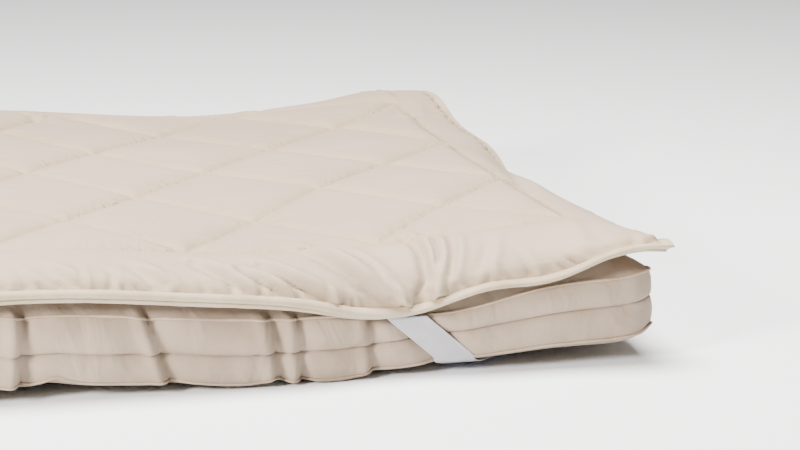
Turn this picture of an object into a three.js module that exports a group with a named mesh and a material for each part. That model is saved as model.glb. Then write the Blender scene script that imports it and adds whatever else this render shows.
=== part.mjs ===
// A quilted mattress protector, held by elastic corner straps on the thin boxed mattress that it covers.
// Millimetres, +Z up. The origin is on the floor below the middle of the mattress. +X runs along the
// length, to the end that shows its curl, and +Y runs across it, to the back.
import * as THREE from "three";

const MATTRESS = { length: 2000, width: 900, side: 58, crown: 34, belly: 6 };
const PROTECTOR = {
  panelLength: 1868, // between the stitched border lines
  panelWidth: 760,
  border: 84, // from the border line out to the cloth's edge at a long side
  endBorder: 74, // and at an end
  diamondsLong: 10,
  diamondsWide: 3,
  seamLoft: 5, // half the thickness where the layers are stitched
  puffLoft: 11, // what the filling adds in the middle of a diamond
  borderPuff: 0.6, // the share of it that the border has
};
const STRAP = { width: 30, thickness: 1.2, frontX: 757, endY: 165, slope: 50, sewnDown: 8.6, sewnDownAtEnd: 11.5 };
const GAP = 0.5; // between pieces that touch in the real thing

const HALF_L = MATTRESS.length / 2;
const HALF_W = MATTRESS.width / 2;
const PANEL_X = PROTECTOR.panelLength / 2;
const PANEL_Y = PROTECTOR.panelWidth / 2;
const SIDE_TOP = MATTRESS.belly + MATTRESS.side; // height of the upper seam where the mattress lies flat
const PLATEAU = SIDE_TOP + MATTRESS.crown;

const clamp = (v, low, high) => Math.min(high, Math.max(low, v));
const ease = (v) => clamp(v, 0, 1) ** 2 * (3 - 2 * clamp(v, 0, 1));
const hill = (distance, reach) => Math.exp(-((distance / reach) ** 2));
const radians = THREE.MathUtils.degToRad;

// How the whole thing lies. A soft crest runs across it, and its ends curl up off the floor, most at the
// front corners. The top of its right part is a little domed towards the front, and sinks towards the back.
const CREST = { x: 390, reach: 270, riseTop: 17, riseUnder: 10, lostAtBack: 0.3 };
const CURL = { start: 700, riseRight: 30, riseLeft: 18, power: 1.15, flatFrom: 0.68, backCorner: 0.35, under: 12 };
const DOME = { x: 720, reachX: 130, y: -130, reachY: 170, height: 6, sink: 6, sinkFrom: 80, sinkOver: 250 };

const backnessAt = (y) => clamp((y + HALF_W) / MATTRESS.width, 0, 1);

function crestAt(x, y) {
  const wave = Math.cos((clamp((x - CREST.x) / CREST.reach, -1, 1) * Math.PI) / 2) ** 2;
  return wave * (1 - CREST.lostAtBack * backnessAt(y));
}

// The underside keeps a least rise at the ends, also where the top lies flat, so that the straps pass below it.
function curlAt(x, y, least = 0) {
  const along = Math.max(0, Math.abs(x) - CURL.start) / (HALF_L - CURL.start);
  const rise = x > 0 ? CURL.riseRight : CURL.riseLeft;
  const front = Math.max(0, 1 - backnessAt(y) / CURL.flatFrom) ** 1.2;
  const back = CURL.backCorner * ease((backnessAt(y) - 0.8) / 0.2);
  return along ** CURL.power * Math.max(rise * (front + back), least);
}

function domeAt(x, y) {
  const front = DOME.height * hill(y - DOME.y, DOME.reachY);
  return hill(x - DOME.x, DOME.reachX) * (front - DOME.sink * ease((y - DOME.sinkFrom) / DOME.sinkOver));
}

const riseTop = (x, y) => CREST.riseTop * crestAt(x, y) + curlAt(x, y) + domeAt(x, y);
const riseUnder = (x, y) => CREST.riseUnder * crestAt(x, y) + curlAt(x, y, CURL.under);

// How far the straps draw the mattress in, at its long sides and along its ends, and press its top seam down.
const DRAWN_IN = { side: 18, sideReach: 82, end: 30, endFrom: 380, endFull: 165, press: 13, pressReach: 70 };

function drawnInAtSide(x) {
  return DRAWN_IN.side * hill(Math.abs(x) - STRAP.frontX, DRAWN_IN.sideReach);
}

function drawnInAtEnd(y) {
  return DRAWN_IN.end * ease((DRAWN_IN.endFrom - Math.abs(y)) / (DRAWN_IN.endFrom - DRAWN_IN.endFull));
}

function pressedAt(x) {
  return DRAWN_IN.press * hill(Math.abs(x) - STRAP.frontX - 40, DRAWN_IN.pressReach);
}

// Closed geometry from a list of points and a list of triangles, three point numbers each.
function geometryOf(points, triangles) {
  const geometry = new THREE.BufferGeometry();
  const numbers = points.flatMap((p) => [p.x, p.y, p.z]);
  geometry.setAttribute("position", new THREE.Float32BufferAttribute(numbers, 3));
  geometry.setIndex(triangles.flat());
  geometry.computeVertexNormals();
  return geometry;
}

// The two triangles of a four-sided face whose corners run anticlockwise, seen from outside.
const quad = (a, b, c, d) => [[a, b, c], [a, c, d]];

// A tube through closed rows of points: row after row joins up, and the last row joins the first.
function closedTube(rows) {
  const count = rows[0].length;
  const triangles = [];
  rows.forEach((_, r) => {
    const next = (r + 1) % rows.length;
    for (let k = 0; k < count; k += 1) {
      const side = (k + 1) % count;
      triangles.push(...quad(r * count + k, next * count + k, next * count + side, r * count + side));
    }
  });
  return geometryOf(rows.flat(), triangles);
}

// The mattress is a filled cover: a flat under panel, a side band drawn in by tufts, and a crowned top panel.
const COLUMNS = { long: 51, short: 21 }; // steps along a long side and along an end
const TUFT = { every: 3, depth: 6, slant: 28, bulge: 5 };
const BELLY_REACH = 62;
const UNDER_INSETS = [150, BELLY_REACH, 20];
const SIDE_RINGS = [
  { up: 0, out: 0, tuft: 0.5 },
  { up: 0.43, out: 1, tuft: 1 },
  { up: 1, out: 0, tuft: 0.6 },
];
const TOP_INSETS = [14, 42, 110];
const CROWN_REACH = 35;
const LADDER = 4; // rows across the middle of the top panel and of the under panel

// The mattress seam seen from above, as points that run anticlockwise from the front left corner.
function perimeter() {
  const { long, short } = COLUMNS;
  const corners = [[-1, -1], [1, -1], [1, 1], [-1, 1]];
  const steps = [long, short, long, short];
  return corners.flatMap(([cx, cy], side) => {
    const [nx, ny] = corners[(side + 1) % 4];
    return Array.from({ length: steps[side] }, (_, k) => {
      const t = k / steps[side];
      return { x: cx + (nx - cx) * t, y: cy + (ny - cy) * t, along: side % 2 === 0, corner: k === 0, k };
    });
  });
}

const crownAt = (inset) => MATTRESS.crown * (1 - Math.exp(-inset / CROWN_REACH));
const bellyAt = (inset) => MATTRESS.belly * (1 - clamp(inset / BELLY_REACH, 0, 1)) ** 2;

// A point of the mattress in plan, a distance inset in from its seam. Its corners are a little rounded off.
const CORNER_IN = 4;

function inPlan(place, inset) {
  const isSide = place.along && !place.corner;
  const inX = place.corner ? CORNER_IN : isSide ? 0 : drawnInAtEnd(place.y * HALF_W);
  const inY = place.corner ? CORNER_IN : isSide ? drawnInAtSide(place.x * HALF_L) : 0;
  return new THREE.Vector3(
    place.x * (HALF_L - inset - inX * (1 - ease(inset / 200))),
    place.y * (HALF_W - inset - inY * (1 - ease(inset / 120))),
    0,
  );
}

function underPoint(place, inset) {
  const p = inPlan(place, inset);
  p.z = bellyAt(inset) + riseUnder(p.x, p.y);
  return p;
}

function sidePoint(place, { up, out, tuft }) {
  const p = inPlan(place, 0);
  const isTuft = place.k % TUFT.every === 1 && !place.corner;
  const push = place.corner ? 0 : out * TUFT.bulge - (isTuft ? tuft * TUFT.depth : 0);
  const slant = isTuft ? TUFT.slant * (0.5 - up) : 0;
  const z = MATTRESS.belly + up * MATTRESS.side;
  p.z = z + riseUnder(p.x, p.y) * (1 - up) + (riseTop(p.x, p.y) - (place.along ? pressedAt(p.x) : 0)) * up;
  if (place.along) {
    p.y += Math.sign(place.y) * push;
    p.x += slant;
  } else {
    p.x += Math.sign(place.x) * push;
    p.y += slant;
  }
  return p;
}

function topPoint(place, inset) {
  const p = inPlan(place, inset);
  const pressed = place.along ? pressedAt(p.x) * (1 - inset / CROWN_REACH) : 0;
  p.z = SIDE_TOP + crownAt(inset) + riseTop(p.x, p.y) - Math.max(0, pressed);
  return p;
}

// Triangles between two lines of point numbers that start and end level with each other.
function zip(left, right) {
  const triangles = [];
  let [i, j] = [0, 0];
  while (i < left.length - 1 || j < right.length - 1) {
    const nextLeft = (i + 1) / (left.length - 1);
    const nextRight = (j + 1) / (right.length - 1);
    if (j === right.length - 1 || (i < left.length - 1 && nextLeft <= nextRight)) {
      triangles.push([left[i], right[j], left[i + 1]]);
      i += 1;
    } else {
      triangles.push([left[i], right[j], right[j + 1]]);
      j += 1;
    }
  }
  return triangles;
}

// Closes a ring of the mattress with rows of points across it. turned is true for the under panel.
function cap(points, ring, heightAt, turned) {
  const { long, short } = COLUMNS;
  const at = (k) => ring + (k % (2 * (long + short)));
  const columns = Array.from({ length: long + 1 }, (_, i) => {
    const front = at(i);
    const back = at(2 * long + short - i);
    if (i === 0 || i === long) {
      const step = i === 0 ? -1 : 1;
      const first = i === 0 ? 2 * (long + short) : long;
      return Array.from({ length: short + 1 }, (_, j) => at(first + step * j));
    }
    const between = Array.from({ length: LADDER - 1 }, (_, j) => {
      const p = points[front].clone().lerp(points[back], (j + 1) / LADDER);
      p.z = heightAt(p.x, p.y);
      points.push(p);
      return points.length - 1;
    });
    return [front, ...between, back];
  });
  const triangles = columns.slice(1).flatMap((column, i) => zip(columns[i], column));
  return turned ? triangles.map(([a, b, c]) => [a, c, b]) : triangles;
}

function mattressRings() {
  const around = perimeter();
  return {
    under: UNDER_INSETS.map((inset) => around.map((place) => underPoint(place, inset))),
    side: SIDE_RINGS.map((ring) => around.map((place) => sidePoint(place, ring))),
    top: TOP_INSETS.map((inset) => around.map((place) => topPoint(place, inset))),
  };
}

function mattressGeometry(rings) {
  const rows = [...rings.under, ...rings.side, ...rings.top];
  const count = rows[0].length;
  const points = rows.flat();
  const triangles = [];
  for (let r = 0; r < rows.length - 1; r += 1) {
    for (let k = 0; k < count; k += 1) {
      const side = (k + 1) % count;
      triangles.push(...quad(r * count + k, r * count + side, (r + 1) * count + side, (r + 1) * count + k));
    }
  }
  const topRing = (rows.length - 1) * count;
  triangles.push(...cap(points, 0, riseUnder, true));
  triangles.push(...cap(points, topRing, (x, y) => PLATEAU + riseTop(x, y), false));
  return geometryOf(points, triangles);
}

// Piping sewn into a seam of the mattress: a small square cord just outside the seam's points.
const PIPING = 3.2;

function pipingGeometry(seam) {
  const middle = new THREE.Vector3();
  const rows = seam.map((p, k) => {
    const before = seam[(k + seam.length - 1) % seam.length];
    const after = seam[(k + 1) % seam.length];
    const ahead = middle.clone().subVectors(after, before).normalize();
    const out = new THREE.Vector3(ahead.y, -ahead.x, 0).normalize();
    const spread = out.clone().multiplyScalar(PIPING);
    const inner = p.clone().addScaledVector(out, GAP + 0.6);
    const up = new THREE.Vector3(0, 0, PIPING / 2);
    const outer = inner.clone().add(spread);
    return [inner.clone().sub(up), outer.clone().sub(up), outer.clone().add(up), inner.clone().add(up)];
  });
  return closedTube(rows);
}

// The protector's cloth is laid out flat in s and t. Its panel lies on the mattress, and its border hangs
// over the edge: it turns down in an arc to a final angle, in degrees, that is steepest where a strap pulls.
const STITCH_LEVEL = PLATEAU + 7;
const HANG = { plain: 31, frontTip: 18, backTip: 5, sideStrap: 70, pastStrap: 18 };
const END_HANG = { middle: 57, front: 31, frontFrom: 260, back: 18, backFrom: 200 };

function hangOfLongSide(s, t) {
  const reach = Math.abs(s);
  const [tip, from] = t < 0 ? [HANG.frontTip, 900] : [HANG.backTip, 830];
  const free = THREE.MathUtils.lerp(HANG.plain, tip, ease((reach - from) / 90));
  const pastStrap = t < 0 ? HANG.pastStrap * hill(reach - 885, 55) : 0;
  const pulled = hill(reach - STRAP.frontX, reach < STRAP.frontX ? 82 : 69);
  return radians(THREE.MathUtils.lerp(free + pastStrap, HANG.sideStrap, pulled));
}

function hangOfEnd(t) {
  const reach = Math.abs(t);
  const [held, from, tip] =
    t < 0 ? [END_HANG.front, END_HANG.frontFrom, HANG.frontTip] : [END_HANG.back, END_HANG.backFrom, HANG.backTip];
  const along = THREE.MathUtils.lerp(END_HANG.middle, held, ease(reach / from));
  return radians(THREE.MathUtils.lerp(along, tip, ease((reach - 320) / 110)));
}

// How far out and how far down a border of the given width has gone, a length e out from its stitched line.
function hanging(e, angle, width) {
  const turned = (angle * e) / width;
  const radius = width / angle;
  return { out: radius * Math.sin(turned), down: radius * (1 - Math.cos(turned)) };
}

// How far the cloth has slid lengthwise, which draws its last diamonds at the right out towards the back.
const SLID = { end: 20, endFrom: 747, endOver: 187, before: 18, beforeAt: 560, beforeReach: 150 };

function slidAt(s, t) {
  const back = clamp((t + PANEL_Y) / (2 * PANEL_Y), 0, 1);
  const fade = 1 - (0.9 * Math.max(0, s - PANEL_X)) / PROTECTOR.endBorder;
  const atEnd = SLID.end * ease((s - SLID.endFrom) / SLID.endOver) * fade;
  return back * (atEnd - SLID.before * hill(s - SLID.beforeAt, SLID.beforeReach));
}

// The middle surface of the cloth, which passes through its stitching and its edge seam.
function clothAt(s, t) {
  const overX = Math.max(0, Math.abs(s) - PANEL_X);
  const overY = Math.max(0, Math.abs(t) - PANEL_Y);
  const endHang = hanging(overX, hangOfEnd(t), PROTECTOR.endBorder);
  const sideHang = hanging(overY, hangOfLongSide(s, t), PROTECTOR.border);
  const x = Math.sign(s) * (Math.min(Math.abs(s), PANEL_X) + endHang.out) + slidAt(s, t);
  const y = Math.sign(t) * (Math.min(Math.abs(t), PANEL_Y) + sideHang.out);
  return new THREE.Vector3(x, y, STITCH_LEVEL + riseTop(x, y) - endHang.down - sideHang.down);
}

function clothNormal(s, t) {
  const step = 4;
  const alongS = clothAt(s + step, t).sub(clothAt(s - step, t));
  const alongT = clothAt(s, t + step).sub(clothAt(s, t - step));
  return alongS.cross(alongT).normalize();
}

// How full the filling is at a place: none on a stitched line or the edge, and most in the middle between them.
const swell = (distance, reach) => 1 - Math.exp(-distance / reach);

function puffAt(s, t) {
  const overX = Math.max(0, Math.abs(s) - PANEL_X);
  const overY = Math.max(0, Math.abs(t) - PANEL_Y);
  if (overX > 0 || overY > 0) {
    const fromLine = Math.max(overX, overY);
    const fromEdge = Math.min(PROTECTOR.endBorder - overX, PROTECTOR.border - overY);
    return PROTECTOR.borderPuff * swell(fromLine, 13) * swell(fromEdge, 9);
  }
  const u = ((s + PANEL_X) / PROTECTOR.panelLength) * PROTECTOR.diamondsLong;
  const v = ((t + PANEL_Y) / PROTECTOR.panelWidth) * PROTECTOR.diamondsWide;
  const fromRising = Math.abs(u + v - Math.round(u + v));
  const fromFalling = Math.abs(u - v - 1 - Math.round(u - v - 1));
  const fromBorder = Math.min(PANEL_X - Math.abs(s), PANEL_Y - Math.abs(t));
  return swell(fromRising, 0.11) * swell(fromFalling, 0.11) * swell(fromBorder, 14);
}

// Places of the cloth's grid along one axis: fine steps over the diamonds, and rows out over the border.
const STEPS_PER_DIAMOND = 6;
const BORDER_ROWS = [0.17, 0.5, 0.83, 1]; // as shares of the border's width

function gridLines(half, diamonds, border) {
  const count = diamonds * STEPS_PER_DIAMOND;
  const inner = Array.from({ length: count + 1 }, (_, k) => -half + (2 * half * k) / count);
  const outer = BORDER_ROWS.map((share) => half + share * border);
  return [...outer.map((v) => -v).reverse(), ...inner, ...outer];
}

const GRID_X = gridLines(PANEL_X, PROTECTOR.diamondsLong, PROTECTOR.endBorder);
const GRID_Y = gridLines(PANEL_Y, PROTECTOR.diamondsWide, PROTECTOR.border);
const isEndEdge = (s) => Math.abs(s) > PANEL_X + PROTECTOR.endBorder - 1;
const isSideEdge = (t) => Math.abs(t) > PANEL_Y + PROTECTOR.border - 1;

function protectorGeometry() {
  const edgeLoft = 1.2;
  const sheet = (side) =>
    GRID_Y.flatMap((t) =>
      GRID_X.map((s) => {
        const puff = side > 0 ? PROTECTOR.puffLoft * puffAt(s, t) : 0;
        const loft = isEndEdge(s) || isSideEdge(t) ? edgeLoft : PROTECTOR.seamLoft + puff;
        return clothAt(s, t).addScaledVector(clothNormal(s, t), side * loft);
      }),
    );
  const points = [...sheet(1), ...sheet(-1)];
  const across = GRID_X.length;
  const under = across * GRID_Y.length;
  const triangles = [];
  for (let j = 0; j < GRID_Y.length - 1; j += 1) {
    for (let i = 0; i < across - 1; i += 1) {
      const [a, b, c, d] = [j * across + i, j * across + i + 1, (j + 1) * across + i + 1, (j + 1) * across + i];
      const rising = (i + j) % 2 === 0; // faces split along the stitched lines, which cross both ways
      triangles.push(...(rising ? [[a, b, c], [a, c, d]] : [[a, b, d], [b, c, d]]));
      const [e, f, g, h] = [a + under, b + under, c + under, d + under];
      triangles.push(...(rising ? [[e, g, f], [e, h, g]] : [[e, h, f], [f, h, g]]));
    }
  }
  const rim = edgeOfGrid(across, GRID_Y.length);
  rim.forEach((p, k) => {
    const next = rim[(k + 1) % rim.length];
    triangles.push(...quad(p + under, next + under, next, p));
  });
  return geometryOf(points, triangles);
}

// The numbers of a grid's outer points, anticlockwise seen from above.
function edgeOfGrid(across, deep) {
  const front = Array.from({ length: across - 1 }, (_, i) => i);
  const right = Array.from({ length: deep - 1 }, (_, j) => j * across + across - 1);
  const back = Array.from({ length: across - 1 }, (_, i) => deep * across - 1 - i);
  const left = Array.from({ length: deep - 1 }, (_, j) => (deep - 1 - j) * across);
  return [...front, ...right, ...back, ...left];
}

// The edge of the protector is finished with a rolled double binding: a fuller roll above a smaller one.
const BINDING = [
  { out: 0, up: -4.6 },
  { out: 5.2, up: -5.8 },
  { out: 5.4, up: -1 },
  { out: 8, up: 2.4 },
  { out: 4.6, up: 6.6 },
  { out: 0, up: 5 },
];

function bindingGeometry() {
  const rim = edgeOfGrid(GRID_X.length, GRID_Y.length).map((number) => ({
    s: GRID_X[number % GRID_X.length],
    t: GRID_Y[Math.floor(number / GRID_X.length)],
  }));
  const rows = rim.map(({ s, t }) => {
    const backS = isEndEdge(s) ? 5 * Math.sign(s) : 0;
    const backT = isSideEdge(t) ? 5 * Math.sign(t) : 0;
    const inward = clothAt(s - backS, t - backT);
    const edge = clothAt(s, t);
    const out = edge.clone().sub(inward).normalize();
    const up = clothNormal(s - backS, t - backT);
    const mitre = backS && backT ? Math.SQRT2 : 1;
    return BINDING.map((corner) =>
      edge
        .clone()
        .addScaledVector(out, (2 * GAP + corner.out) * mitre)
        .addScaledVector(up, corner.up),
    );
  });
  return closedTube(rows);
}

// An elastic strap runs from the long side's edge down the mattress, under its corner and up to the end's edge.
// Each row across it is given at its middle, with how far its two ends lie from there in x and in y. Rows with
// outOfSide or outOfEnd follow the mattress's side or end, that far off it, and lift is from the lower turn.
function strapRows(topAtSide, topAtEnd, frontY, endX) {
  const slope = radians(STRAP.slope);
  const halfAtSide = STRAP.width / Math.sin(slope) / 2;
  const halfAtEnd = STRAP.width / Math.cos(slope) / 2;
  const footX = STRAP.frontX + (topAtSide.z - STRAP.sewnDown) / Math.tan(slope);
  const footY = frontY(footX);
  const endY = footY - (endX(STRAP.endY) - footX) * Math.tan(slope);
  const endFootX = endX(endY);
  return [
    { x: STRAP.frontX, y: Math.abs(topAtSide.y) + 1, z: topAtSide.z - STRAP.sewnDown, dx: halfAtSide, dy: 0 },
    { x: footX, outOfSide: 0.6, lift: 6, dx: halfAtSide, dy: 0 },
    { x: footX + 2, outOfSide: -0.4, lift: 0, dx: halfAtSide, dy: 0 },
    { x: footX + 42, y: footY - 52, dx: halfAtSide * 0.92, dy: 6 },
    { x: footX + 110, y: footY - 132, dx: halfAtSide * 0.62, dy: 16 },
    { x: endFootX - 34, y: endY + 40, dx: 5, dy: halfAtEnd * 0.88 },
    { y: endY + 2, outOfEnd: -0.4, lift: 0, dx: 0, dy: halfAtEnd },
    { y: endY, outOfEnd: 0.6, lift: 6, dx: 0, dy: halfAtEnd },
    { x: Math.abs(topAtEnd.x) + 1, y: STRAP.endY, z: topAtEnd.z - STRAP.sewnDownAtEnd, dx: 0, dy: halfAtEnd },
  ];
}

// The strap of one corner, which the signs sx and sy name.
function strapGeometry(sx, sy) {
  const clear = GAP + PIPING + 2; // from the mattress seam out to the strap that passes its piping
  const frontY = (x) => HALF_W - drawnInAtSide(x) + clear;
  const endX = (y) => HALF_L - drawnInAtEnd(y) + clear;
  const under = (x, y) => bellyAt(Math.min(endX(y) - x, frontY(x) - y)) + riseUnder(sx * x, sy * y) - 3;
  const turn = (x, y) => MATTRESS.belly - PIPING / 2 - 1.6 + riseUnder(sx * x, sy * y);
  const topAtSide = clothAt(sx * STRAP.frontX, sy * (PANEL_Y + PROTECTOR.border));
  const topAtEnd = clothAt(sx * (PANEL_X + PROTECTOR.endBorder), sy * STRAP.endY);
  const line = strapRows(topAtSide, topAtEnd, frontY, endX).map((row) =>
    [-1, 1].map((way) => {
      const alongX = row.x + way * row.dx;
      const alongY = row.y + way * row.dy;
      const x = row.outOfEnd === undefined ? alongX : endX(alongY) + row.outOfEnd;
      const y = row.outOfSide === undefined ? alongY : frontY(alongX) + row.outOfSide;
      const z = row.z ?? (row.lift === undefined ? under(x, y) : turn(x, y) + row.lift);
      return new THREE.Vector3(sx * x, sy * y, z);
    }),
  );
  return ribbon(line, sx * sy);
}

// A ribbon of cloth between two edge lines. Its thickness is added on the side that faces away from the mattress.
function ribbon(line, hand) {
  const faces = line.map(([a, b], k) => {
    const [c, d] = line[Math.min(k + 1, line.length - 1)];
    const [e, f] = line[Math.max(k - 1, 0)];
    const ahead = c.clone().add(d).sub(e).sub(f);
    return b.clone().sub(a).cross(ahead).normalize().multiplyScalar(hand * STRAP.thickness);
  });
  const rows = line.map(([a, b], k) => [a, b, b.clone().add(faces[k]), a.clone().add(faces[k])]);
  const points = rows.flat();
  const triangles = [];
  for (let r = 0; r < rows.length - 1; r += 1) {
    for (let k = 0; k < 4; k += 1) {
      const side = (k + 1) % 4;
      triangles.push(...quad(r * 4 + k, r * 4 + side, r * 4 + 4 + side, r * 4 + 4 + k));
    }
  }
  const last = points.length - 4;
  triangles.push(...quad(3, 2, 1, 0), ...quad(last, last + 1, last + 2, last + 3));
  const facing = hand < 0 ? triangles : triangles.map(([a, b, c]) => [a, c, b]);
  return geometryOf(points, facing);
}

// Finishes, from the cloths that show: unbleached cotton, and a white elastic with a faint blue cast.
const SATEEN = new THREE.MeshStandardMaterial({ color: 0xdcd3c6, roughness: 0.72, metalness: 0 });
const BINDING_SATEEN = new THREE.MeshStandardMaterial({ color: 0xe3dccd, roughness: 0.68, metalness: 0 });
const TWILL = new THREE.MeshStandardMaterial({ color: 0xcfc3b6, roughness: 0.9, metalness: 0 });
const PIPING_TWILL = new THREE.MeshStandardMaterial({ color: 0xcabbad, roughness: 0.9, metalness: 0 });
const ELASTIC = new THREE.MeshStandardMaterial({ color: 0xd4d2d6, roughness: 0.75, metalness: 0 });

function named(name, geometry, material) {
  const mesh = new THREE.Mesh(geometry, material);
  mesh.name = name;
  return mesh;
}

const protectorOnMattress = new THREE.Group();
const rings = mattressRings();
const seams = { lower: rings.side[0], upper: rings.side[rings.side.length - 1] };
protectorOnMattress.add(
  named("mattress", mattressGeometry(rings), TWILL),
  named("mattress_piping_lower", pipingGeometry(seams.lower), PIPING_TWILL),
  named("mattress_piping_upper", pipingGeometry(seams.upper), PIPING_TWILL),
  named("protector_pad", protectorGeometry(), SATEEN),
  named("protector_binding", bindingGeometry(), BINDING_SATEEN),
);
const CORNERS = [
  { name: "front_right", sx: 1, sy: -1 },
  { name: "back_right", sx: 1, sy: 1 },
  { name: "back_left", sx: -1, sy: 1 },
  { name: "front_left", sx: -1, sy: -1 },
];
for (const { name, sx, sy } of CORNERS) {
  protectorOnMattress.add(named(`strap_${name}`, strapGeometry(sx, sy), ELASTIC));
}

export default protectorOnMattress;
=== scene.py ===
import math

import bmesh
import bpy
import numpy as np
from mathutils import Matrix, Vector


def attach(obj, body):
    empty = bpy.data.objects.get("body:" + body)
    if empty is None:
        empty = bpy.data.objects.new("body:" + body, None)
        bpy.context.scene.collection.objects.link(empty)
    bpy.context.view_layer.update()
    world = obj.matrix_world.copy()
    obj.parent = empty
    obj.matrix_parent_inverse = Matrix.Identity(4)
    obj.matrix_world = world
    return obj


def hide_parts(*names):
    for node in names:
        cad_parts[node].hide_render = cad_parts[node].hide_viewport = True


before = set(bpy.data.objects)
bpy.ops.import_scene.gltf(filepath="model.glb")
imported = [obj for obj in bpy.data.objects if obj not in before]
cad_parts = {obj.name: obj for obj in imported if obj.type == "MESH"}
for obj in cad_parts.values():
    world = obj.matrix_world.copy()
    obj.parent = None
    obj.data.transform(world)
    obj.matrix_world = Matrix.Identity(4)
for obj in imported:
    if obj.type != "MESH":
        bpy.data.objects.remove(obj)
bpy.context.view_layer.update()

# Mattress cover: a thin boxed topper of unbleached cotton twill, filled soft. Its side band is two strips
# joined at mid height, and tufts draw the band in about every hand's width. It lies with a low crest
# across it, its ends curl up off the floor, and the protector's straps pull its edges in.
MM = 0.001  # every size below is in millimetres, and a finished mesh is in metres
LENGTH = 2000.0
WIDTH = 900.0
BELLY = 6.0  # from the floor up to the lower seam
BAND = 58.0  # between the two seams
SIDE_TOP = BELLY + BAND
CROWN = 34.0  # from the upper seam up to the middle of the top
PLATEAU = SIDE_TOP + CROWN
MID_SEAM = 0.44  # height of the band's own seam, as a share of the band
CORNER, CORNER_STEPS = 26.0, 8  # radius of a corner seen from above, and the steps round it
OUTLINE_STEP = 4.0
CREST_X, CREST_REACH, CREST_TOP, CREST_UNDER = 390.0, 270.0, 17.0, 10.0
CURL_START, CURL_POWER, CURL_RIGHT, CURL_LEFT = 700.0, 1.15, 30.0, 18.0
UNDER_CURL = 12.0  # the least that the underside rises at an end, where the straps pass
STRAP_X = 757.0  # where a strap leaves the long side
STRAP_Y = 165.0  # where it comes up at the end
STRAP_LEAN = 44.0  # how far it moves along the side on its way down the band
PULLED_IN, STRAP_GROOVE, PULL_REACH = 10.0, 8.0, 82.0  # the dent that it makes in the side


def ease(v):
    """A smooth step from 0 to 1."""
    v = np.clip(v, 0.0, 1.0)
    return v * v * (3.0 - 2.0 * v)


def hill(distance, reach):
    return np.exp(-((distance / reach) ** 2))


def backness(y):
    """0 along the front of the mattress, and 1 along its back."""
    return np.clip((y + WIDTH / 2) / WIDTH, 0.0, 1.0)


def crest_at(x, y):
    wave = np.cos(np.clip((x - CREST_X) / CREST_REACH, -1.0, 1.0) * math.pi / 2) ** 2
    return wave * (1.0 - 0.3 * backness(y))


def curl_at(x, y, least=0.0):
    """How far an end curls up: most at its front corner, and a little at its back corner."""
    along = np.maximum(0.0, np.abs(x) - CURL_START) / (LENGTH / 2 - CURL_START)
    front = np.maximum(0.0, 1.0 - backness(y) / 0.68) ** 1.5
    back = 0.35 * ease((backness(y) - 0.8) / 0.2)
    rise = np.where(x > 0, CURL_RIGHT, CURL_LEFT)
    return along**CURL_POWER * np.maximum(rise * (front + back), least)


def dome_at(x, y):
    """The top of the right part is a little domed towards the front, and sinks towards the back."""
    return hill(x - 720.0, 130.0) * (6.0 * hill(y + 130.0, 170.0) - 6.0 * ease((y - 80.0) / 250.0))


def rise_top(x, y):
    return CREST_TOP * crest_at(x, y) + curl_at(x, y) + dome_at(x, y)


def rise_under(x, y):
    return CREST_UNDER * crest_at(x, y) + curl_at(x, y, UNDER_CURL)


def sag_under(x, y, inset):
    """How far the filling sags below the seam where an end curls up, a way in from the seam."""
    return 0.15 * curl_at(x, y, UNDER_CURL) * (1.0 - np.exp(-inset / 9.0))


def droop_at(x, y):
    """The mattress hangs a little below the cloth at the front corners."""
    return 6.0 * ease((np.abs(x) - 880.0) / 110.0) * ease((-y - 300.0) / 100.0)


def drawn_in_at_end(y):
    """The straps draw an end in between them, and not at its corners."""
    return 30.0 * ease((380.0 - np.abs(y)) / 215.0)


def strap_line(up):
    """Distance from the middle, along the long side, of the strap's middle line at a height of the band."""
    return STRAP_X + STRAP_LEAN * (1.0 - up)


def drawn_in_at_side(x, up):
    """A strap draws a long side in round it, and presses a groove into it where it lies."""
    groove = STRAP_GROOVE * np.exp(-(((np.abs(x) - strap_line(up)) / 23.0) ** 4))
    return PULLED_IN * hill(np.abs(x) - STRAP_X, PULL_REACH) + groove


def seam_outline(step):
    """Stations round the seam, anticlockwise from the front left: place, way out and run, and the length."""
    x, y = LENGTH / 2 - CORNER, WIDTH / 2 - CORNER
    sides = [(-90, -x, -y, x, -y), (0, x, -y, x, y), (90, x, y, -x, y), (180, -x, y, -x, -y)]
    places, outs = [], []
    for turn, ax, ay, bx, by in sides:
        start, end = np.array([ax, ay]), np.array([bx, by])
        out = np.array([math.cos(math.radians(turn)), math.sin(math.radians(turn))])
        count = round(float(np.linalg.norm(end - start)) / step)
        for i in range(count):
            places.append(start + (end - start) * i / count + CORNER * out)
            outs.append(out)
        for i in range(CORNER_STEPS):
            angle = math.radians(turn + 90 * i / CORNER_STEPS)
            out = np.array([math.cos(angle), math.sin(angle)])
            places.append(end + CORNER * out)
            outs.append(out)
    places, outs = np.array(places), np.array(outs)
    steps = np.linalg.norm(np.roll(places, -1, axis=0) - places, axis=1)
    return places, outs, np.concatenate([[0.0], np.cumsum(steps)[:-1]]), float(steps.sum())


PLACES, OUTS, RUN, AROUND = seam_outline(OUTLINE_STEP)
FRONT_START = -(LENGTH / 2 - CORNER)  # the x where the run is 0

# Tufts of the front's right half: x at the upper and at the lower seam, how deep they draw the band in, how
# far the upper seam dips, and where and how far the lower seam is pulled up.
FRONT_TUFTS = [
    (284, 290, 9.0, 3.0, 300, 6.0),
    (400, 397, 14.0, 5.5, 430, 8.0),
    (514, 534, 11.0, 4.5, 541, 2.5),
    (628, 636, 11.0, 2.5, 630, 6.0),
    (654, 658, 10.0, 3.0, 662, 3.0),
    (722, 727, 8.0, 6.0, 730, 2.5),
]


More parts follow.
